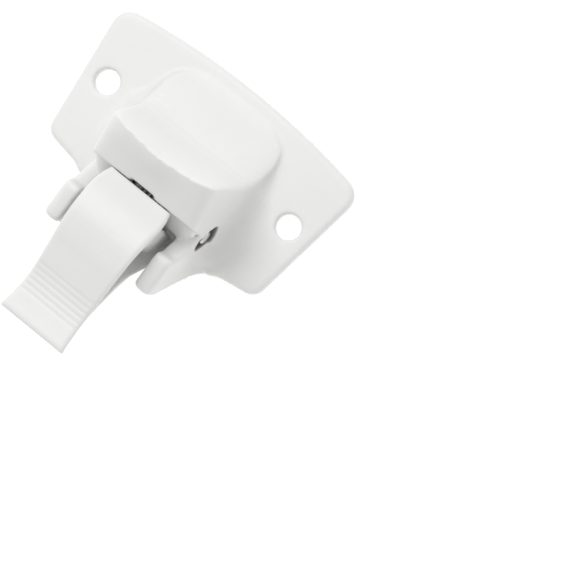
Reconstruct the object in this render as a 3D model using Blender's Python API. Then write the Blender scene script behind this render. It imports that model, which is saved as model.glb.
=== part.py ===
"""Sprung lever catch for a window restrictor.

A white moulded housing with a screw plate, a hood and two guard fins carries a wedge-shaped lever
on a steel pivot pin. A torsion spring on the pin keeps the lever out against the lip of the hood.

Frame: the back of the plate is Z = 0 and +Z points away from the window frame it is screwed to.
X runs along the plate through both screw holes. The lever's thumb tip points along -Y.
Inside the script a point is given in millimetres from the middle of the line between the screw
holes. The empty "assembly" moves that point so that the object's box is centred on the origin.
"""

import math

import bmesh
import bpy
from mathutils import Vector

MM = 0.001

# Screw plate
HOLE_SPACING = 48.0
HOLE_RADIUS = 2.7
HOLE_CHAMFER = 0.3
PLATE_THICKNESS = 3.0
PLATE_EDGE_ROUND = 1.1
ARCH_Y = 17.2
ARCH_RADIUS = 169.0
TOP_CORNER = (31.6, 14.25)
TOP_CORNER_RADIUS = 4.0
BOTTOM_CORNER = (27.6, -15.5)
BOTTOM_CORNER_RADIUS = 3.0
FIN_ROOT = (17.2, -17.9)
FIN_ROOT_START = (20.6, -16.6)
TRAY_DEPTH = 1.2
RIM_WIDTH = 2.0
RIM_GAP_HALF_WIDTH = 9.0
BOSS_RADIUS = 4.8
RIB_X = (13.0, 14.6)
RIB_Y = (-5.0, 6.2)

# Hood
LIP_Y = -12.4
LIP_HEIGHT = 25.5
CREST_Y = -3.5
CREST_HEIGHT = 33.9
CREST_BOW = 2.0
FLANK_DRAFT = 0.105
WALL_SIDE = 1.5
WALL_MOUTH = 2.6
WALL_BACK = 1.3
WALL_ROOF = 1.2
RUN_OUT_Y = 6.0
RUN_OUT_DROP = 2.6
NOTCH_WIDTH = 6.3
NOTCH_DEPTH = 0.55

# Back opening
JAMB_FRONT = [(6.4, -15.5), (10.2, -15.5), (11.1, -14.9), (12.0, -14.2), (12.6, -13.7)]
JAMB_LOW = 15.6
JAMB_TOP = (-12.1, 23.8)
JAMB_BACK = -10.4
POCKET_HALF_WIDTH = (13.8, 12.5)
POCKET_Y = (-13.9, -9.9)
POCKET_TOP = 8.0
SLOT_HALF_WIDTH = 8.8

# Guard fins
FIN_LEDGE = 9.9
FIN_OUTER = 13.6
FIN_ROUND = (0.6, 1.8)
FIN_END_Y = -28.2
FIN_END_ROUND = 1.1
FLARE_HEIGHT = 8.4

# Pivot
PIVOT_Y = -12.2
PIVOT_Z = 10.5
PIN_RADIUS = 1.5
PIN_HALF_LENGTH = 13.9
PIN_CHAMFER = 0.35
PIN_GAP = 0.3
RECESS_RADIUS = (2.9, 3.3)
RECESS_FLOOR = 12.0
BEARING_RADIUS = 3.4
BEARING_X = (10.8, 13.2)

# Lever
TIP_Y = -47.6
TIP_REAR_Z = 23.0
TIP_ROUND = 1.0
LEVER_TOP_Y = -12.6
FRONT_THICKNESS = 1.8
REAR_THICKNESS = 1.5
LEVER_EDGE_ROUND = 0.7
HUB_RADIUS = 4.6
KNUCKLE_RADIUS = 4.45
KNUCKLE_X = (4.7, 9.6)
COIL_SPACE_RADIUS = 3.5
FLAP_TOP = (-2.6, 10.3)
REAR_BEND = (-27.9, 17.9)
WEB_HALF_WIDTH = 7.9
WEB_Y = (-22.4, -16.05)
WEB_CORNER = 2.6
GROOVE_COUNT = 6
GROOVE_FIRST_Y = -36.25
GROOVE_PITCH = 1.18
GROOVE_RADIUS = 0.5
GROOVE_DEPTH = 0.12

# Torsion spring
WIRE_RADIUS = 0.35
COIL_RADIUS = 2.6
COIL_TURNS = 6.0
COIL_HALF_WIDTH = 3.4
FLAP_LEG_ANGLE = math.radians(34.0)
FLAP_LEG_LENGTH = 8.0
HOOD_LEG_TOP = 23.6
POINTS_PER_TURN = 14

# The object's box is centred on the origin in X and Y
ASSEMBLY_SHIFT = -(ARCH_Y + TIP_Y) / 2

# Tables of (y, value) along the object, read through smooth()
LEVER_FRONT_Z = [(-47.6, 25.0), (-44.0, 24.5), (-41.0, 24.3), (-38.0, 24.7), (-34.5, 26.0),
                 (-31.0, 27.4), (-27.5, 28.8), (-23.0, 29.5), (-18.0, 28.5), (-12.7, 25.7)]
LEVER_HALF_WIDTH = [(-47.6, 8.0), (-44.0, 7.6), (-41.0, 7.4), (-37.0, 7.5), (-31.0, 7.85),
                    (-25.0, 8.15), (-17.0, 8.45), (-14.0, 8.2), (-12.7, 7.6)]
REAR_HALF_WIDTH = [(-47.6, 7.73), (-44.0, 7.33), (-41.0, 7.13), (-37.0, 7.23), (-31.0, 7.5),
                   (-28.0, 7.8), (-25.5, 8.5), (-23.8, 9.1), (-21.0, 9.7), (-17.0, 10.2), (-12.0, 10.35),
                   (-9.4, 10.1), (-7.1, 9.4), (-6.6, 7.6), (-2.6, 7.6)]
FIN_BOTTOM_Z = [(-28.2, 19.0), (-27.6, 15.5), (-26.0, 11.8), (-23.7, 8.0), (-21.2, 4.6),
                (-18.5, 0.9), (-17.5, 0.1), (-8.0, 0.1)]
FIN_TOP_Z = [(-28.2, 20.6), (-27.9, 21.6), (-27.3, 22.1), (-24.0, 22.8), (-20.8, 23.5),
             (-20.1, 23.2), (-19.6, 22.0), (-19.3, 20.2), (-18.8, 19.4), (-17.0, 17.8),
             (-14.2, 15.5), (-12.0, 14.9), (-8.0, 14.8)]
FIN_INNER_X = [(-28.2, 9.95), (-26.6, 10.0), (-24.8, 10.6), (-23.0, 10.7), (-6.0, 10.7)]
FIN_FOOT_X = [(-28.2, 13.3), (-24.6, 13.8), (-21.8, 14.5), (-19.5, 15.3), (-18.2, 16.2),
              (-17.0, 17.3), (-15.0, 18.6), (-12.4, 19.4), (-4.0, 19.2)]
FLARE_FLOOR_Z = [(-28.2, 0.0), (-18.6, 0.0), (-17.6, 1.4), (-16.6, 2.4), (-15.5, 2.9), (-4.0, 2.95)]
HOOD_BACK_Z = [(-3.5, 33.9), (-2.7, 31.2), (-1.5, 25.5), (-0.5, 19.8), (0.6, 15.2), (1.9, 11.8),
               (3.8, 9.0), (5.6, 7.2), (7.7, 5.8), (10.0, 4.5), (12.0, 3.6), (13.8, 3.1)]
HOOD_HALF_WIDTH = [(-13.0, 14.4), (-3.5, 14.7), (0.0, 14.7), (5.0, 14.7), (7.0, 14.6), (9.0, 14.2),
                   (11.0, 13.2), (12.5, 11.2), (13.8, 8.0)]
HOOD_FILLET = [(-13.0, 4.8), (0.0, 4.8), (5.0, 4.4), (9.0, 3.4), (13.8, 2.0)]
HOOD_SQUARENESS = [(-13.0, 12.0), (-9.0, 11.0), (-3.5, 9.0), (-1.5, 6.5), (0.5, 4.5), (2.5, 3.6),
                   (5.0, 3.0), (9.0, 2.5), (13.8, 2.2)]


def smooth(table, at):
    """Read a table of (place, value) with a cubic that passes through its points."""
    if at <= table[0][0]:
        return table[0][1]
    if at >= table[-1][0]:
        return table[-1][1]

    def slope(i):
        low, high = max(i - 1, 0), min(i + 1, len(table) - 1)
        return (table[high][1] - table[low][1]) / (table[high][0] - table[low][0])

    i = max(k for k in range(len(table) - 1) if table[k][0] <= at)
    step = table[i + 1][0] - table[i][0]
    t = (at - table[i][0]) / step
    a = table[i][1] * (2 * t**3 - 3 * t**2 + 1)
    b = table[i + 1][1] * (3 * t**2 - 2 * t**3)
    c = slope(i) * step * (t**3 - 2 * t**2 + t)
    d = slope(i + 1) * step * (t**3 - t**2)
    return a + b + c + d


def spread(start, end, count):
    """Evenly spaced values from start to end, both included."""
    return [start + (end - start) * i / (count - 1) for i in range(count)]


def corner_arc(before, corner, after, radius, count):
    """Points of the arc that rounds a corner of an outline."""
    corner = Vector(corner)
    u = (Vector(before) - corner).normalized()
    v = (Vector(after) - corner).normalized()
    half = u.angle(v) / 2
    centre = corner + (u + v).normalized() * radius / math.sin(half)
    start = corner + u * radius / math.tan(half) - centre
    end = corner + v * radius / math.tan(half) - centre
    turn = math.atan2(start.x * end.y - start.y * end.x, start.dot(end))
    angle = math.atan2(start.y, start.x)
    return [(centre.x + radius * math.cos(angle + turn * i / (count - 1)),
             centre.y + radius * math.sin(angle + turn * i / (count - 1))) for i in range(count)]


def mirrored(half):
    """Close an outline whose right half is given, leaving out points on the mirror line."""
    return half + [(-x, y) for x, y in reversed(half) if abs(x) > 1e-6]


def clear_scene():
    for thing in list(bpy.data.objects):
        bpy.data.objects.remove(thing, do_unlink=True)


def material(name, colour, roughness, metallic=0.0):
    made = bpy.data.materials.new(name)
    made.use_nodes = True
    shader = made.node_tree.nodes["Principled BSDF"]
    shader.inputs["Base Color"].default_value = (*colour, 1.0)
    shader.inputs["Roughness"].default_value = roughness
    shader.inputs["Metallic"].default_value = metallic
    return made


def add_object(name, mesh, origin=(0.0, 0.0, 0.0)):
    """Link an object whose mesh is in millimetres about the given origin, and scale it to metres."""
    for vertex in mesh.vertices:
        vertex.co = (vertex.co - Vector(origin)) * MM
    made = bpy.data.objects.new(name, mesh)
    made.location = Vector(origin) * MM
    bpy.context.scene.collection.objects.link(made)
    made.parent = bpy.data.objects["assembly"]
    return made


def mesh_from(bm, name):
    bmesh.ops.recalc_face_normals(bm, faces=bm.faces)
    bmesh.ops.triangulate(bm, faces=[f for f in bm.faces if len(f.verts) > 4])
    mesh = bpy.data.meshes.new(name)
    bm.to_mesh(mesh)
    bm.free()
    return mesh


def loft(name, sections):
    """A closed solid through sections with equal point counts, capped at both ends."""
    bm = bmesh.new()
    rings = [[bm.verts.new(point) for point in section] for section in sections]
    count = len(rings[0])
    for near, far in zip(rings, rings[1:]):
        for i in range(count):
            j = (i + 1) % count
            bm.faces.new((near[i], near[j], far[j], far[i]))
    bm.faces.new(rings[0])
    bm.faces.new(list(reversed(rings[-1])))
    return mesh_from(bm, name)


def prism(name, outline, low, high):
    """An outline in X and Y between two heights."""
    return loft(name, [[(x, y, low) for x, y in outline], [(x, y, high) for x, y in outline]])


def turned(name, profile, centre, axis="X", count=32):
    """A closed solid of revolution from (place along the axis, radius) pairs."""
    sections = []
    for place, radius in profile:
        ring = []
        for i in range(count):
            a = 2 * math.pi * i / count
            u, v = radius * math.cos(a), radius * math.sin(a)
            if axis == "X":
                ring.append((place, centre[1] + u, centre[2] + v))
            else:
                ring.append((centre[0] + u, centre[1] + v, place))
        sections.append(ring)
    return loft(name, sections)


def box(name, x, y, z):
    return prism(name, [(x[0], y[0]), (x[1], y[0]), (x[1], y[1]), (x[0], y[1])], *z)


def combine(target, mesh, operation):
    """Add or cut a shape with a Boolean modifier that stays on the target."""
    tool = add_object("tool_" + mesh.name, mesh)
    tool.hide_render = True
    tool.display_type = "WIRE"
    modifier = target.modifiers.new(mesh.name, "BOOLEAN")
    modifier.object = tool
    modifier.operation = operation
    modifier.solver = "EXACT"


# ---------------------------------------------------------------- housing


def plate_outline(inset=0.0):
    """The plate seen from the front: arched far edge, tapered ends and a stepped near edge."""
    top_corner = (TOP_CORNER[0] - inset, TOP_CORNER[1] - inset)
    low_corner = (BOTTOM_CORNER[0] - inset, BOTTOM_CORNER[1] + inset)
    arch = [(x, ARCH_Y - inset - x * x / (2 * ARCH_RADIUS)) for x in spread(0.0, 26.0, 9)]
    start = (FIN_ROOT_START[0], FIN_ROOT_START[1] + inset)
    root = (FIN_ROOT[0], FIN_ROOT[1] + inset)
    top = corner_arc(arch[-1], top_corner, low_corner, TOP_CORNER_RADIUS - inset, 7)
    low = corner_arc(top_corner, low_corner, start, BOTTOM_CORNER_RADIUS - inset / 2, 6)
    bend = [(start[0] + (root[0] - start[0]) * t, start[1] + (root[1] - start[1]) * t**1.7)
            for t in (0.0, 0.25, 0.5, 0.75, 1.0)]
    return mirrored(arch + top + low + bend)


def plate_mesh():
    """The plate slab, its front edge rounded."""
    sections = []
    levels = [(0.0, 0.15), (0.2, 0.0), (PLATE_THICKNESS - PLATE_EDGE_ROUND, 0.0)]
    for i in range(1, 5):
        a = math.pi / 2 * i / 4
        levels.append((PLATE_THICKNESS - PLATE_EDGE_ROUND * (1 - math.sin(a)),
                       PLATE_EDGE_ROUND * (1 - math.cos(a))))
    for z, inset in levels:
        sections.append([(x, y, z) for x, y in plate_outline(inset)])
    return loft("plate", sections)


def crest_bow(x, y, z):
    """How far the crest swings towards the mouth in the middle of the hood."""
    near = math.exp(-(((y - CREST_Y) / 4.5) ** 2))
    across = max(0.0, 1 - (x / 12.8) ** 2)
    return -CREST_BOW * near * across * (z - PLATE_THICKNESS) / (CREST_HEIGHT - PLATE_THICKNESS)


def hood_height(y):
    """The hood along its middle: a slope from the lip to the crest, a steep back and a ramp."""
    if y <= CREST_Y:
        return LIP_HEIGHT + (CREST_HEIGHT - LIP_HEIGHT) * (y - LIP_Y) / (CREST_Y - LIP_Y)
    return smooth(HOOD_BACK_Z, y)


def arch_points(half_width, height, floor, squareness, count):
    """Right half of a squared arch from its top down to the floor, with drafted sides."""
    points = []
    for i in range(count):
        a = math.pi / 2 * i / (count - 1)
        x = half_width * max(math.sin(a), 0.0) ** (2 / squareness)
        z = floor + (height - floor) * max(math.cos(a), 0.0) ** (2 / squareness)
        drafted = x * (1 - FLANK_DRAFT * (z - PLATE_THICKNESS) / (CREST_HEIGHT - PLATE_THICKNESS))
        points.append((drafted, z))
    return points


def hood_section(y):
    """Outer section of the hood: a squared arch that flares into the plate with a fillet."""
    height = hood_height(y)
    radius = min(smooth(HOOD_FILLET, y), 0.45 * max(height - PLATE_THICKNESS, 0.4))
    half_width = smooth(HOOD_HALF_WIDTH, y)
    top = arch_points(half_width, height, PLATE_THICKNESS + radius, smooth(HOOD_SQUARENESS, y), 15)
    foot = []
    for i in range(1, 6):
        a = math.pi / 2 * i / 5
        foot.append((half_width + radius * (1 - math.cos(a)),
                     PLATE_THICKNESS - 0.02 + radius * (1 - math.sin(a))))
    foot.append((half_width + radius, 1.0))
    half = [(max(x, 0.0), z) for x, z in top] + foot
    return [(x, y + crest_bow(x, y, z), z) for x, z in mirrored(half)]


def hood_mesh():
    stations = spread(LIP_Y, CREST_Y, 9) + [-3.2, -2.6, -1.7, -0.8, 0.1, 1.0] + spread(2.2, 13.8, 11)
    return loft("hood", [hood_section(y) for y in stations])


def cavity_section(y):
    """Inner section of the hood, open at the back of the plate."""
    behind = hood_height(max(y + WALL_BACK, CREST_Y))
    height = behind - WALL_ROOF - RUN_OUT_DROP * max(0.0, (y - RUN_OUT_Y) / (ARCH_Y - RUN_OUT_Y))
    if y <= CREST_Y:
        height = min(height, hood_height(max(y, LIP_Y)) - WALL_MOUTH)
    half_width = smooth(HOOD_HALF_WIDTH, y) - WALL_SIDE
    half = arch_points(half_width, height, 0.0, smooth(HOOD_SQUARENESS, y) * 0.95, 13)
    half.append((half_width, -1.0))
    lean = max(y, LIP_Y)
    return [(x, y + crest_bow(x, lean, z) * 0.9, z) for x, z in mirrored(half)]


def cavity_mesh():
    stations = [-13.4] + spread(-12.0, -5.0, 7) + [-4.2, -3.4, -2.6, -1.8, -0.8, 0.2] + spread(1.4, 12.2, 9)
    return loft("cavity", [cavity_section(y) for y in stations])


def fin_section(y, side):
    """One fin across: inner face with a ledge, rounded top, outer face flaring towards its foot."""
    low, high = smooth(FIN_BOTTOM_Z, y), smooth(FIN_TOP_Z, y)
    reach = min(1.0, (y - FIN_END_Y) / FIN_END_ROUND)
    pinch = FIN_END_ROUND * (1 - math.sqrt(reach * (2 - reach)))
    under, inner = smooth(FIN_INNER_X, y) + pinch, FIN_LEDGE + pinch
    outer, foot = FIN_OUTER - pinch, smooth(FIN_FOOT_X, y) - pinch
    rise = high - low
    ledge = max(low + 0.25 * rise, min(14.0, high - 3.0))
    points = [(under, low), (under, ledge), (inner, ledge + min(0.8, 0.25 * rise))]
    near, far = (min(r, 0.4 * rise, 0.42 * (outer - inner)) for r in FIN_ROUND)
    for i in range(4):
        a = math.pi / 2 * i / 3
        points.append((inner + near * (1 - math.cos(a)), high - near * (1 - math.sin(a))))
    for i in range(4):
        a = math.pi / 2 * i / 3
        points.append((outer - far * (1 - math.sin(a)), high - far * (1 - math.cos(a))))
    floor = max(smooth(FLARE_FLOOR_Z, y), low + 0.25)
    top_of_flare = low + min(FLARE_HEIGHT, (rise - far) * 0.8)
    for i in range(8):
        t = i / 7
        points.append((outer + (foot - outer) * t**2.4, top_of_flare + (floor - top_of_flare) * t))
    points.append((foot, low))
    return [(side * x, y, z) for x, z in points]


def fin_mesh(side):
    stations = ([-28.2, -28.1, -27.9, -27.6, -27.1] + spread(-26.2, -20.8, 6)
                + spread(-20.3, -18.8, 6) + spread(-18.1, -15.0, 5) + spread(-14.0, -6.0, 5))
    return loft("fin_right" if side > 0 else "fin_left", [fin_section(y, side) for y in stations])


def jamb_mesh(side):
    """The leaning front face beside the lever, from the hood's lip down to above the hub."""
    sections = []
    for x, y in JAMB_FRONT:
        low = [(y, JAMB_LOW + 0.8), (y + 0.8, JAMB_LOW), (JAMB_BACK, JAMB_LOW)]
        high = [(JAMB_BACK + 1.0, JAMB_TOP[1]), JAMB_TOP]
        sections.append([(side * x, b, c) for b, c in low + high])
    return loft("jamb_right" if side > 0 else "jamb_left", sections)


def tray_outline():
    """The shallow recess in the back of the plate, running out at the middle of the arched edge."""
    top_corner = (TOP_CORNER[0] - RIM_WIDTH, TOP_CORNER[1] - RIM_WIDTH * 0.7)
    low_corner = (BOTTOM_CORNER[0] - RIM_WIDTH, BOTTOM_CORNER[1] + RIM_WIDTH)
    arch = [(0.0, ARCH_Y + 2.0), (RIM_GAP_HALF_WIDTH, ARCH_Y + 2.0)]
    arch += [(x, ARCH_Y - 1.3 - x * x / (2 * ARCH_RADIUS)) for x in spread(RIM_GAP_HALF_WIDTH, 25.0, 5)]
    top = corner_arc(arch[-1], top_corner, low_corner, 3.0, 5)
    low = corner_arc(top_corner, low_corner, (17.6, -15.2), 2.0, 4)
    return mirrored(arch + top + low + [(17.6, -15.2), (16.2, -13.9), (12.0, -9.4)])


def pocket_mesh():
    """Room for the hub behind the pin, narrowing away from the wall."""
    sections = []
    for half_width, z in zip(POCKET_HALF_WIDTH, (-1.0, POCKET_TOP)):
        sections.append([(-half_width, POCKET_Y[0], z), (half_width, POCKET_Y[0], z),
                         (half_width, POCKET_Y[1], z), (-half_width, POCKET_Y[1], z)])
    return loft("pin_pocket", sections)


def build_housing(plastic):
    housing = add_object("base_housing", plate_mesh())
    combine(housing, hood_mesh(), "UNION")
    for side in (1, -1):
        combine(housing, fin_mesh(side), "UNION")
    combine(housing, cavity_mesh(), "DIFFERENCE")
    for side in (1, -1):
        combine(housing, jamb_mesh(side), "UNION")
        bearing = sorted((side * x, BEARING_RADIUS) for x in BEARING_X)
        combine(housing, turned("bearing_right" if side > 0 else "bearing_left", bearing,
                                (0.0, PIVOT_Y, PIVOT_Z), "X", 28), "UNION")
    combine(housing, prism("tray", tray_outline(), -1.0, TRAY_DEPTH), "DIFFERENCE")
    for side in (1, -1):
        word = "right" if side > 0 else "left"
        hole_x = side * HOLE_SPACING / 2
        boss = [(0.0, BOSS_RADIUS - 0.4), (0.4, BOSS_RADIUS), (PLATE_THICKNESS - 0.6, BOSS_RADIUS)]
        combine(housing, turned("boss_" + word, boss, (hole_x, 0.0, 0.0), "Z", 36), "UNION")
        rib_x = sorted((side * RIB_X[0], side * RIB_X[1]))
        combine(housing, box("rib_" + word, rib_x, RIB_Y, (0.0, 2.0)), "UNION")
    combine(housing, pocket_mesh(), "DIFFERENCE")
    combine(housing, box("lever_slot", (-SLOT_HALF_WIDTH, SLOT_HALF_WIDTH), (-22.0, -13.0),
                         (-1.0, PLATE_THICKNESS + 0.7)), "DIFFERENCE")
    combine(housing, box("lip_notch", (-NOTCH_WIDTH / 2, NOTCH_WIDTH / 2),
                         (LIP_Y - 2.0, LIP_Y + NOTCH_DEPTH), (20.0, 30.0)), "DIFFERENCE")
    bore = [(-25.0, PIN_RADIUS + PIN_GAP), (25.0, PIN_RADIUS + PIN_GAP)]
    combine(housing, turned("pin_bore", bore, (0.0, PIVOT_Y, PIVOT_Z), "X", 28), "DIFFERENCE")
    for side in (1, -1):
        word = "right" if side > 0 else "left"
        recess = sorted([(side * RECESS_FLOOR, RECESS_RADIUS[0]), (side * 15.2, RECESS_RADIUS[1]),
                         (side * 25.0, RECESS_RADIUS[1] + 0.5)])
        combine(housing, turned("recess_" + word, recess, (0.0, PIVOT_Y, PIVOT_Z), "X", 28), "DIFFERENCE")
        wide = HOLE_RADIUS + HOLE_CHAMFER
        hole = [(-1.0, wide + 1.0), (HOLE_CHAMFER, HOLE_RADIUS),
                (PLATE_THICKNESS - HOLE_CHAMFER, HOLE_RADIUS), (PLATE_THICKNESS + 1.0, wide + 1.0)]
        centre = (side * HOLE_SPACING / 2, 0.0, 0.0)
        combine(housing, turned("screw_hole_" + word, hole, centre, "Z", 36), "DIFFERENCE")
    housing.data.materials.append(plastic)


# ------------------------------------------------------------------ lever


def strip(name, path, half_width, thickness):
    """A plate that follows a path of (y, z) on its outer side, with rounded edges.

    The width and the thickness are functions of y.
    """
    sections = []
    for i, (y, z) in enumerate(path):
        before, after = Vector(path[max(i - 1, 0)]), Vector(path[min(i + 1, len(path) - 1)])
        along = (after - before).normalized()
        if i in (0, len(path) - 1):
            along = Vector((math.copysign(1.0, along.x), 0.0))
        inward = Vector((-along.y, along.x))
        w, t = half_width(y), thickness(y)
        r = min(LEVER_EDGE_ROUND, 0.4 * abs(t))
        d = math.copysign(r, t)
        half = [(0.0, 0.0), (w - r, 0.0), (w - 0.3 * r, 0.3 * d), (w, d), (w, t - d),
                (w - 0.3 * r, t - 0.3 * d), (w - r, t), (0.0, t)]
        ring = half + [(-x, d) for x, d in reversed(half) if x > 1e-6]
        sections.append([(x, y + inward.x * d, z + inward.y * d) for x, d in ring])
    return loft(name, sections)


def tip_drop(y):
    """How far the rounded end of the thumb plate falls below the plate's face."""
    reach = min(1.0, (y - TIP_Y) / TIP_ROUND)
    return TIP_ROUND * (1 - math.sqrt(reach * (2 - reach)))


def lever_front_path():
    """Outer side of the thumb plate, from the rounded tip to its top edge at the hood."""
    stations = [TIP_Y + TIP_ROUND * s for s in (0.0, 0.08, 0.25, 0.5)]
    stations += spread(TIP_Y + TIP_ROUND, LEVER_TOP_Y, 26)
    return [(y, smooth(LEVER_FRONT_Z, y) - tip_drop(y)) for y in stations]


def tangent_point(target, side):
    """Where a line from the target touches the hub on the side that faces the wall."""
    away = Vector(target) - Vector((PIVOT_Y, PIVOT_Z))
    lean = math.acos(HUB_RADIUS / away.length)
    angle = math.atan2(away.y, away.x) - side * lean
    return angle


def lever_rear_path():
    """Outer side of the rear plate: tip, bend, round the hub under the pin, then the flap."""
    start, end = tangent_point(REAR_BEND, -1), tangent_point(FLAP_TOP, 1)
    if start < 0:
        start += 2 * math.pi
    if end < start:
        end += 2 * math.pi
    hub = [(PIVOT_Y + HUB_RADIUS * math.cos(a), PIVOT_Z + HUB_RADIUS * math.sin(a))
           for a in spread(start, end, 9)]
    tail = [(TIP_Y + 0.6, TIP_REAR_Z), (-44.0, 22.4), (-41.0, 21.8), (-38.0, 21.2), (-34.5, 20.3),
            (-31.0, 19.2)]
    rise = [(y, REAR_BEND[1] + (hub[0][1] - REAR_BEND[1]) * (y - REAR_BEND[0]) / (hub[0][0] - REAR_BEND[0]))
            for y in spread(REAR_BEND[0], hub[0][0], 7)]
    flap = [(y, hub[-1][1] + (FLAP_TOP[1] - hub[-1][1]) * (y - hub[-1][0]) / (FLAP_TOP[0] - hub[-1][0]))
            for y in (-8.4, -7.1, -6.6, -4.6, FLAP_TOP[0])]
    return tail + rise[:-1] + hub + flap


def web_mesh():
    """The rounded block that joins the thumb plate to the rear plate."""
    corner = (WEB_HALF_WIDTH, WEB_Y[0])
    other = (WEB_HALF_WIDTH, WEB_Y[1])
    half = [(0.0, WEB_Y[1])]
    half += corner_arc((0.0, WEB_Y[1]), other, corner, 1.0, 4)
    half += corner_arc(other, corner, (0.0, WEB_Y[0]), WEB_CORNER, 6)
    half += [(0.0, WEB_Y[0])]
    outline = mirrored(half)
    slope = (REAR_BEND[1] - 7.4) / (REAR_BEND[0] + 15.1)
    low = [(x, y, REAR_BEND[1] + (y - REAR_BEND[0]) * slope + 1.2) for x, y in outline]
    high = [(x, y, smooth(LEVER_FRONT_Z, y) - 0.9) for x, y in outline]
    return loft("web", [low, high])


def build_lever(plastic):
    pivot = (0.0, PIVOT_Y, PIVOT_Z)
    front = strip("thumb_plate", lever_front_path(), lambda y: smooth(LEVER_HALF_WIDTH, y),
                  lambda y: tip_drop(y) - FRONT_THICKNESS)
    lever = add_object("latch_lever", front, pivot)
    combine(lever, strip("rear_plate", lever_rear_path(), lambda y: smooth(REAR_HALF_WIDTH, y),
                         lambda y: REAR_THICKNESS), "UNION")
    combine(lever, web_mesh(), "UNION")
    for side in (1, -1):
        word = "right" if side > 0 else "left"
        ends = sorted((side * KNUCKLE_X[0], side * KNUCKLE_X[1]))
        knuckle = [(ends[0], KNUCKLE_RADIUS), (ends[1], KNUCKLE_RADIUS)]
        combine(lever, turned("knuckle_" + word, knuckle, pivot, "X", 32), "UNION")
    space = [(-KNUCKLE_X[0] + 0.05, COIL_SPACE_RADIUS), (KNUCKLE_X[0] - 0.05, COIL_SPACE_RADIUS)]
    combine(lever, turned("coil_space", space, pivot, "X", 28), "DIFFERENCE")
    bore = [(-15.0, PIN_RADIUS + PIN_GAP), (15.0, PIN_RADIUS + PIN_GAP)]
    combine(lever, turned("lever_bore", bore, pivot, "X", 28), "DIFFERENCE")
    for i in range(GROOVE_COUNT):
        y = GROOVE_FIRST_Y - i * GROOVE_PITCH
        z = smooth(LEVER_FRONT_Z, y) + GROOVE_RADIUS - GROOVE_DEPTH
        groove = [(-12.0, GROOVE_RADIUS), (12.0, GROOVE_RADIUS)]
        combine(lever, turned(f"groove_{i + 1}", groove, (0.0, y, z), "X", 12), "DIFFERENCE")
    lever.data.materials.append(plastic)


# --------------------------------------------------------- pin and spring


def build_pin(steel):
    end, small = PIN_HALF_LENGTH, PIN_RADIUS - PIN_CHAMFER
    profile = [(-end, small), (-end + PIN_CHAMFER, PIN_RADIUS),
               (end - PIN_CHAMFER, PIN_RADIUS), (end, small)]
    pivot = (0.0, PIVOT_Y, PIVOT_Z)
    pin = add_object("pivot_pin", turned("pivot_pin", profile, pivot, "X", 28), pivot)
    pin.data.materials.append(steel)


def spring_path():
    """Centre line of the wire: the leg on the flap, the coil round the pin, the leg in the hood."""
    start = -math.pi / 2 + FLAP_LEG_ANGLE
    total = COIL_TURNS * 2 * math.pi + (math.pi / 2 - FLAP_LEG_ANGLE)
    steps = int(total / (2 * math.pi) * POINTS_PER_TURN)
    coil = []
    for i in range(steps + 1):
        t = i / steps
        a = start - (total - 2 * (math.pi / 2 - FLAP_LEG_ANGLE)) * t
        x = -COIL_HALF_WIDTH + 2 * COIL_HALF_WIDTH * t
        coil.append(Vector((x, PIVOT_Y + COIL_RADIUS * math.cos(a), PIVOT_Z + COIL_RADIUS * math.sin(a))))
    along_flap = Vector((0.0, math.cos(FLAP_LEG_ANGLE), math.sin(FLAP_LEG_ANGLE)))
    flap_leg = [coil[0] + along_flap * s for s in (FLAP_LEG_LENGTH, FLAP_LEG_LENGTH / 2, 1.0)]
    last = coil[-1]
    back = (coil[-1] - coil[-2]).normalized()
    top = Vector((last.x, LIP_Y + 3.1, HOOD_LEG_TOP))
    hood_leg = [last + back * 1.0, last.lerp(top, 0.5), top]
    return flap_leg + coil + hood_leg


def tube(name, path, radius, count=8):
    """A round wire swept along a path, its rings carried along without twisting."""
    sections = []
    side = Vector((1.0, 0.0, 0.0))
    for i, point in enumerate(path):
        along = (path[min(i + 1, len(path) - 1)] - path[max(i - 1, 0)]).normalized()
        side = (side - along * side.dot(along)).normalized()
        other = along.cross(side)
        angles = [2 * math.pi * k / count for k in range(count)]
        sections.append([point + (side * math.cos(a) + other * math.sin(a)) * radius for a in angles])
    return loft(name, sections)


def build_spring(steel):
    pivot = (0.0, PIVOT_Y, PIVOT_Z)
    spring = add_object("torsion_spring", tube("torsion_spring", spring_path(), WIRE_RADIUS), pivot)
    spring.data.materials.append(steel)


def main():
    clear_scene()
    assembly = bpy.data.objects.new("assembly", None)
    assembly.location = (0.0, ASSEMBLY_SHIFT * MM, 0.0)
    bpy.context.scene.collection.objects.link(assembly)
    plastic = material("white_plastic", (0.86, 0.86, 0.85), 0.35)
    steel = material("bright_steel", (0.62, 0.62, 0.60), 0.28, 1.0)
    build_housing(plastic)
    build_lever(plastic)
    build_pin(steel)
    build_spring(steel)


main()
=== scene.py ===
import math

import bmesh
import bpy
from mathutils import Matrix, Vector


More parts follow.
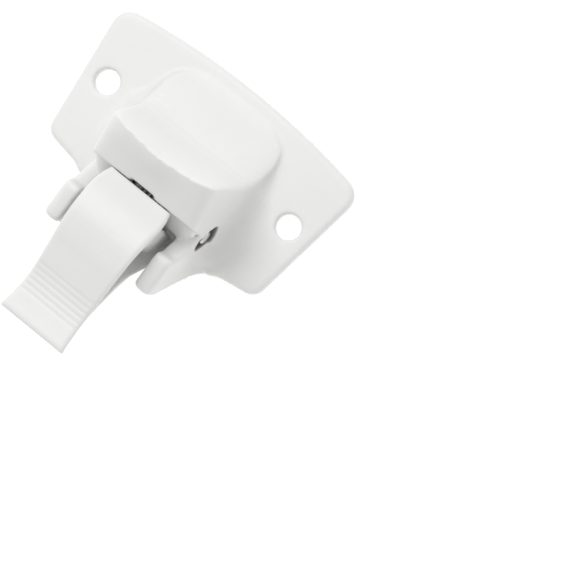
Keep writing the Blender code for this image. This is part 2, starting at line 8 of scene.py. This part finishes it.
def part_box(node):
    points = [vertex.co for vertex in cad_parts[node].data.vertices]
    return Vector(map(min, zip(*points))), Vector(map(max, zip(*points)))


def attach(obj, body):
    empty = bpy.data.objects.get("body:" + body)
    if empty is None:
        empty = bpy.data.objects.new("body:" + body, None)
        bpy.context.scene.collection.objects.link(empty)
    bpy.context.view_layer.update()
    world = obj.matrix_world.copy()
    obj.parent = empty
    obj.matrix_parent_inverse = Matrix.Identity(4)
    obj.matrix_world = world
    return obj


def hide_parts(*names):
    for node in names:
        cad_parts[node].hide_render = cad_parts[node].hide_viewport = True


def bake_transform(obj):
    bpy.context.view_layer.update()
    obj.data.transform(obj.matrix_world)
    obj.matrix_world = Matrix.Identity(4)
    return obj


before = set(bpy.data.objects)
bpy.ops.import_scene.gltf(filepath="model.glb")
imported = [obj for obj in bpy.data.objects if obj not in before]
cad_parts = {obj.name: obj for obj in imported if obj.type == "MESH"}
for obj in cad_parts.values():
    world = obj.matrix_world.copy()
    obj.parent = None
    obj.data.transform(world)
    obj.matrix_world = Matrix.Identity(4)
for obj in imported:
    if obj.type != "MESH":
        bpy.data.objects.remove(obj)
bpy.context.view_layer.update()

MM = 0.001

# The moulded pieces: how fine their mesh is, in millimetres, and how many times it is smoothed
HOUSING_VOXEL = 0.325
HOUSING_ROUNDS = 5
LEVER_VOXEL = 0.215
LEVER_ROUNDS = 3
SMOOTH_FACTOR = 0.5
WELD_DISTANCE = 1e-6

# The ends of the pin: (distance from the end in millimetres, share of the pin's radius)
PIN_DOME = [(0.0, 0.12), (0.03, 0.45), (0.1, 0.7), (0.22, 0.86), (0.42, 0.97), (0.7, 1.0)]
PIN_SEGMENTS = 64

# The wire of the spring, as modelled in the CAD part, in metres
WIRE_RADIUS = 0.35 * MM
COIL_RADIUS = 2.6 * MM
COIL_HALF_WIDTH = 3.4 * MM
COIL_TURNS = 6.0
COIL_STEPS = 260
FLAP_LEG_ANGLE = math.radians(34.0)
FLAP_LEG_LENGTH = 8.0 * MM
FLAP_LEG_STATIONS = (1.0, 0.75, 0.5, 0.25, 0.12)
HOOD_LEG_TOP = (5.9 * MM, 23.6 * MM)
HOOD_LEG_STATIONS = (0.35, 0.7)

# Noises: (features per metre, detail, roughness)
CLOUD_NOISE = (55.0, 3.0, 0.5)
FLOW_NOISE = (140.0, 5.0, 0.6)
FLOW_STRETCH = (0.35, 1.0, 0.5)
SMEAR_NOISE = (260.0, 6.0, 0.65)
SKIN_NOISE = (9000.0, 2.0, 0.6)
WAVE_NOISE = (180.0, 2.0, 0.4)
DRAW_NOISE = (2600.0, 4.0, 0.6)
PATCH_NOISE = (420.0, 4.0, 0.6)

# White plastic
PLASTIC_BODY = (0.775, 0.775, 0.765), (0.815, 0.815, 0.808)
PLASTIC_FLOW = (0.76, 0.76, 0.745)
PLASTIC_EDGE = (0.86, 0.86, 0.855)
FLOW_AMOUNT = 0.45
FLOW_RANGE = (0.45, 0.75)
EDGE_AMOUNT = 0.35
EDGE_RANGE = (0.52, 0.58)
PLASTIC_ROUGHNESS = (0.34, 0.47)
SKIN_DEPTH, SKIN_STRENGTH = 0.012 * MM, 0.5
WAVE_DEPTH, WAVE_STRENGTH = 0.06 * MM, 0.35
PLASTIC_IOR = 1.49
PLASTIC_SPECULAR = 0.4
SCATTER_WEIGHT = 0.12
SCATTER_COLOUR = (1.0, 0.9, 0.8)
SCATTER_DEPTH = 0.6 * MM

# Painted shade in the recesses round the pin's ends: its colour, and where it fades, from the pin's axis
# and from the middle plane
PAINTED_SHADE = (0.14, 0.135, 0.125)
PAINTED_SHADE_REACH = (3.1 * MM, 3.6 * MM)
PAINTED_SHADE_DEPTH = (14.0 * MM, 14.8 * MM)

# Bright steel
STEEL_COLOURS = (0.56, 0.555, 0.54), (0.70, 0.695, 0.68)
STEEL_ROUGHNESS = (0.2, 0.36)
DRAW_DEPTH, DRAW_STRENGTH = 0.015 * MM, 0.6
DRAWN_ALONG_X = (0.15, 1.0, 1.0)
DRAWN_EVENLY = (1.0, 1.0, 1.0)

# Stage
FLOOR_SIZE = 6.0
FLOOR_LEVEL = -0.2 * MM
FLOOR_GREY = 0.55
FLOOR_ROUGHNESS = 0.9
FLOOR_SPECULAR = 0.1
FLOOR_GLOW = 0.62
WHITE = (1.0, 1.0, 1.0, 1.0)
WORLD_STRENGTH = 0.68
KEY_PLACE = (-0.28, 0.25, 0.65)
KEY_TARGET = (0.0, 0.0, 0.01)
KEY_SIZE = (0.4, 0.4)
KEY_POWER = 2.4

# Camera: its right and backward directions, its place in metres and its lens in millimetres
CAMERA_RIGHT = (0.77047, 0.62647, -0.11792)
CAMERA_BACK = (0.14239, 0.01118, 0.98975)
CAMERA_PLACE = (0.131893, 0.013496, 0.702427)
CAMERA_LENS = 220.28
CAMERA_SENSOR = 36.0


# ---------------------------------------------------------------- materials


class Nodes:
    """A material's node tree, with short calls for the nodes used here."""

    def __init__(self, name):
        self.material = bpy.data.materials.new(name)
        self.material.use_nodes = True
        self.tree = self.material.node_tree
        self.shader = self.tree.nodes["Principled BSDF"]
        self.coords = self.tree.nodes.new("ShaderNodeTexCoord").outputs["Object"]

    def link(self, source, socket):
        self.tree.links.new(source, socket)

    def set(self, socket, value):
        """A value that is the same all over the surface."""
        self.shader.inputs[socket].default_value = value

    def noise(self, scale, detail, roughness, stretch=(1.0, 1.0, 1.0)):
        """Noise in the object's own space; scale is in features per metre."""
        mapping = self.tree.nodes.new("ShaderNodeMapping")
        mapping.inputs["Scale"].default_value = stretch
        self.link(self.coords, mapping.inputs["Vector"])
        noise = self.tree.nodes.new("ShaderNodeTexNoise")
        noise.inputs["Scale"].default_value = scale
        noise.inputs["Detail"].default_value = detail
        noise.inputs["Roughness"].default_value = roughness
        self.link(mapping.outputs["Vector"], noise.inputs["Vector"])
        return noise.outputs["Fac"]

    def ramp(self, source, low, high, low_at=0.3, high_at=0.7):
        """The source mapped from low_at..high_at to low..high."""
        node = self.tree.nodes.new("ShaderNodeMapRange")
        node.inputs["From Min"].default_value = low_at
        node.inputs["From Max"].default_value = high_at
        node.inputs["To Min"].default_value = low
        node.inputs["To Max"].default_value = high
        self.link(source, node.inputs["Value"])
        return node.outputs["Result"]

    def mix(self, factor, first, second):
        """Two colours, each a tuple or a socket, mixed by the factor."""
        node = self.tree.nodes.new("ShaderNodeMix")
        node.data_type = "RGBA"
        for socket, value in (("Factor", factor), ("A", first), ("B", second)):
            target = [s for s in node.inputs if s.name == socket and s.enabled][0]
            if isinstance(value, tuple):
                target.default_value = (*value, 1.0)
            else:
                self.link(value, target)
        return [s for s in node.outputs if s.enabled][0]

    def bump(self, height, distance, strength, normal=None):
        node = self.tree.nodes.new("ShaderNodeBump")
        node.inputs["Strength"].default_value = strength
        node.inputs["Distance"].default_value = distance
        self.link(height, node.inputs["Height"])
        if normal is not None:
            self.link(normal, node.inputs["Normal"])
        return node.outputs["Normal"]

    def separate(self, vector):
        """The X, Y and Z outputs of a vector."""
        node = self.tree.nodes.new("ShaderNodeSeparateXYZ")
        self.link(vector, node.inputs["Vector"])
        return node.outputs["X"], node.outputs["Y"], node.outputs["Z"]

    def math(self, operation, *sources):
        node = self.tree.nodes.new("ShaderNodeMath")
        node.operation = operation
        for source, socket in zip(sources, node.inputs):
            self.link(source, socket)
        return node.outputs["Value"]


def pivot_place():
    """The middle of the pin, which the lever turns about."""
    low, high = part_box("pivot_pin")
    return (low + high) / 2


def pin_recess_painted_shade(n):
    """Where shade is painted into the two recesses round the ends of the pin, 0 to 1."""
    offset = n.tree.nodes.new("ShaderNodeMapping")
    offset.inputs["Location"].default_value = -pivot_place()
    n.link(n.coords, offset.inputs["Vector"])
    x, y, z = n.separate(offset.outputs["Vector"])
    around = n.tree.nodes.new("ShaderNodeCombineXYZ")
    n.link(y, around.inputs["Y"])
    n.link(z, around.inputs["Z"])
    reach = n.tree.nodes.new("ShaderNodeVectorMath")
    reach.operation = "LENGTH"
    n.link(around.outputs["Vector"], reach.inputs[0])
    near_axis = n.ramp(reach.outputs["Value"], 1.0, 0.0, *PAINTED_SHADE_REACH)
    inside = n.ramp(n.math("ABSOLUTE", x), 1.0, 0.0, *PAINTED_SHADE_DEPTH)
    return n.math("MULTIPLY", near_axis, inside)


def white_plastic():
    """White moulded plastic: a satin skin, faint flow marks, paler edges, and painted shade in the recesses
    round the pin.
    """
    n = Nodes("white_plastic")
    colour = n.mix(n.noise(*CLOUD_NOISE), *PLASTIC_BODY)
    flow = n.noise(*FLOW_NOISE, FLOW_STRETCH)
    colour = n.mix(n.ramp(flow, 0.0, FLOW_AMOUNT, *FLOW_RANGE), colour, PLASTIC_FLOW)
    pointy = n.tree.nodes.new("ShaderNodeNewGeometry").outputs["Pointiness"]
    colour = n.mix(n.ramp(pointy, 0.0, EDGE_AMOUNT, *EDGE_RANGE), colour, PLASTIC_EDGE)
    # painted shade: the recesses round the pin's ends are darkened in the colour
    colour = n.mix(pin_recess_painted_shade(n), colour, PAINTED_SHADE)
    n.link(colour, n.shader.inputs["Base Color"])
    n.link(n.ramp(n.noise(*SMEAR_NOISE), *PLASTIC_ROUGHNESS), n.shader.inputs["Roughness"])
    skin = n.bump(n.noise(*SKIN_NOISE), SKIN_DEPTH, SKIN_STRENGTH)
    wave = n.bump(n.noise(*WAVE_NOISE), WAVE_DEPTH, WAVE_STRENGTH, skin)
    n.link(wave, n.shader.inputs["Normal"])
    n.set("IOR", PLASTIC_IOR)
    n.set("Specular IOR Level", PLASTIC_SPECULAR)
    n.set("Subsurface Weight", SCATTER_WEIGHT)
    n.set("Subsurface Radius", SCATTER_COLOUR)
    n.set("Subsurface Scale", SCATTER_DEPTH)
    return n.material


def bright_steel(name, stretch):
    """Drawn steel: fine lines along the draw, small dull patches."""
    n = Nodes(name)
    lines = n.noise(*DRAW_NOISE, stretch)
    patches = n.noise(*PATCH_NOISE)
    n.link(n.mix(patches, *STEEL_COLOURS), n.shader.inputs["Base Color"])
    n.set("Metallic", 1.0)
    n.link(n.ramp(patches, *STEEL_ROUGHNESS), n.shader.inputs["Roughness"])
    n.link(n.bump(lines, DRAW_DEPTH, DRAW_STRENGTH), n.shader.inputs["Normal"])
    return n.material


# ------------------------------------------------------------------- pieces


def add_piece(name, mesh):
    piece = bpy.data.objects.new(name, mesh)
    bpy.context.scene.collection.objects.link(piece)
    return piece


def evaluated_mesh(thing):
    """A new mesh of an object with its modifiers or its bevel applied."""
    graph = bpy.context.evaluated_depsgraph_get()
    return bpy.data.meshes.new_from_object(thing.evaluated_get(graph))


def finish_surface(mesh, material):
    mesh.materials.clear()
    mesh.materials.append(material)
    mesh.polygons.foreach_set("use_smooth", [True] * len(mesh.polygons))


def moulded(node, name, voxel, rounds, body, material):
    """The CAD node's shape with its corners softened as a mould leaves them.

    The mesh is in millimetres while it is remeshed and smoothed.
    """
    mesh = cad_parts[node].data.copy()
    bm = bmesh.new()
    bm.from_mesh(mesh)
    bmesh.ops.remove_doubles(bm, verts=bm.verts, dist=WELD_DISTANCE)
    bmesh.ops.scale(bm, vec=(1 / MM, 1 / MM, 1 / MM), verts=bm.verts)
    bm.to_mesh(mesh)
    bm.free()
    piece = add_piece(name, mesh)
    remesh = piece.modifiers.new("remesh", "REMESH")
    remesh.mode = "VOXEL"
    remesh.voxel_size = voxel
    soften = piece.modifiers.new("soften", "SMOOTH")
    soften.factor = SMOOTH_FACTOR
    soften.iterations = rounds
    final = evaluated_mesh(piece)
    final.transform(Matrix.Scale(MM, 4))
    piece.modifiers.clear()
    piece.data = final
    final.name = name
    finish_surface(final, material)
    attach(piece, body)
    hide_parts(node)


def lathe(name, profile, centre, segments, material):
    """A solid of revolution along X from (x, radius) pairs, its two end caps flat shaded."""
    bm = bmesh.new()
    rings = []
    for x, radius in profile:
        ring = []
        for i in range(segments):
            a = 2 * math.pi * i / segments
            ring.append(bm.verts.new(centre + Vector((x, radius * math.cos(a), radius * math.sin(a)))))
        rings.append(ring)
    for low, high in zip(rings, rings[1:]):
        for i in range(segments):
            j = (i + 1) % segments
            bm.faces.new((low[i], low[j], high[j], high[i]))
    bm.faces.new(list(reversed(rings[0])))
    bm.faces.new(rings[-1])
    bmesh.ops.recalc_face_normals(bm, faces=bm.faces)
    mesh = bpy.data.meshes.new(name)
    bm.to_mesh(mesh)
    bm.free()
    mesh.materials.append(material)
    mesh.polygons.foreach_set("use_smooth", [len(p.vertices) == 4 for p in mesh.polygons])
    return add_piece(name, mesh)


def pin_piece():
    """The rod through the fins, its ends domed a little as a riveting tool leaves them."""
    low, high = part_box("pivot_pin")
    radius, half = (high.z - low.z) / 2, (high.x - low.x) / 2
    profile = [(-half + depth * MM, radius * share) for depth, share in PIN_DOME]
    profile += [(-x, r) for x, r in reversed(profile)]
    steel = bright_steel("pin_steel", DRAWN_ALONG_X)
    piece = lathe("pin_rod", profile, pivot_place(), PIN_SEGMENTS, steel)
    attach(piece, "base")
    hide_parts("pivot_pin")


def spring_points():
    """The wire's centre line, following the CAD spring at a finer step."""
    pivot = pivot_place()
    rest = math.pi / 2 - FLAP_LEG_ANGLE
    turned = COIL_TURNS * 2 * math.pi - rest
    coil = []
    for i in range(COIL_STEPS + 1):
        t = i / COIL_STEPS
        a = -rest - turned * t
        x = -COIL_HALF_WIDTH + 2 * COIL_HALF_WIDTH * t
        y = pivot.y + COIL_RADIUS * math.cos(a)
        z = pivot.z + COIL_RADIUS * math.sin(a)
        coil.append(Vector((x, y, z)))
    first, last = coil[0], coil[-1]
    along = Vector((0.0, math.cos(FLAP_LEG_ANGLE), math.sin(FLAP_LEG_ANGLE)))
    flap_leg = [first + along * FLAP_LEG_LENGTH * s for s in FLAP_LEG_STATIONS]
    top = Vector((last.x, *HOOD_LEG_TOP))
    hood_leg = [last + (last - coil[-2]).normalized() * MM]
    hood_leg += [last.lerp(top, s) for s in HOOD_LEG_STATIONS]
    return flap_leg + coil + hood_leg + [top]


def spring_piece():
    """The wound wire."""
    points = spring_points()
    curve = bpy.data.curves.new("spring_wire", "CURVE")
    curve.dimensions = "3D"
    curve.bevel_depth = WIRE_RADIUS
    curve.bevel_resolution = 4
    curve.use_fill_caps = True
    spline = curve.splines.new("POLY")
    spline.points.add(len(points) - 1)
    for point, co in zip(spline.points, points):
        point.co = (*co, 1.0)
    temporary = add_piece("spring_curve", curve)
    mesh = evaluated_mesh(temporary)
    bpy.data.objects.remove(temporary)
    finish_surface(mesh, bright_steel("spring_steel", DRAWN_EVENLY))
    piece = add_piece("spring_wire", mesh)
    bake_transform(piece)
    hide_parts("torsion_spring")


# -------------------------------------------------------- stage and camera


def floor_piece():
    bpy.ops.mesh.primitive_plane_add(size=FLOOR_SIZE, location=(0.0, 0.0, FLOOR_LEVEL))
    floor = bpy.context.object
    floor.name = "floor"
    n = Nodes("pale_floor")
    n.set("Base Color", (FLOOR_GREY, FLOOR_GREY, FLOOR_GREY, 1.0))
    n.set("Roughness", FLOOR_ROUGHNESS)
    n.set("Specular IOR Level", FLOOR_SPECULAR)
    n.set("Emission Color", WHITE)
    n.set("Emission Strength", FLOOR_GLOW)
    floor.data.materials.append(n.material)


def key_light():
    data = bpy.data.lights.new("key", "AREA")
    data.shape = "RECTANGLE"
    data.size, data.size_y = KEY_SIZE
    data.energy = KEY_POWER
    light = bpy.data.objects.new("key", data)
    light.location = KEY_PLACE
    light.rotation_mode = "QUATERNION"
    light.rotation_quaternion = (Vector(KEY_TARGET) - Vector(KEY_PLACE)).to_track_quat("-Z", "Y")
    bpy.context.scene.collection.objects.link(light)


def studio():
    """Even white light from all round, and one soft light from the upper left."""
    world = bpy.data.worlds.new("studio")
    world.use_nodes = True
    background = world.node_tree.nodes["Background"]
    background.inputs["Color"].default_value = WHITE
    background.inputs["Strength"].default_value = WORLD_STRENGTH
    bpy.context.scene.world = world
    key_light()
    bpy.context.scene.view_settings.view_transform = "Standard"


def camera_piece():
    """The photograph's viewpoint: almost square on to the plate, from a distance."""
    back = Vector(CAMERA_BACK).normalized()
    up = back.cross(Vector(CAMERA_RIGHT).normalized())
    right = up.cross(back)
    place = Matrix((right, up, back)).transposed().to_4x4()
    place.translation = Vector(CAMERA_PLACE)
    data = bpy.data.cameras.new("camera")
    data.lens = CAMERA_LENS
    data.sensor_width = CAMERA_SENSOR
    camera = bpy.data.objects.new("camera", data)
    camera.matrix_world = place
    bpy.context.scene.collection.objects.link(camera)
    bpy.context.scene.camera = camera


plastic = white_plastic()
moulded("base_housing", "housing", HOUSING_VOXEL, HOUSING_ROUNDS, "base", plastic)
moulded("latch_lever", "lever", LEVER_VOXEL, LEVER_ROUNDS, "lever", plastic)
pin_piece()
spring_piece()
floor_piece()
studio()
camera_piece()
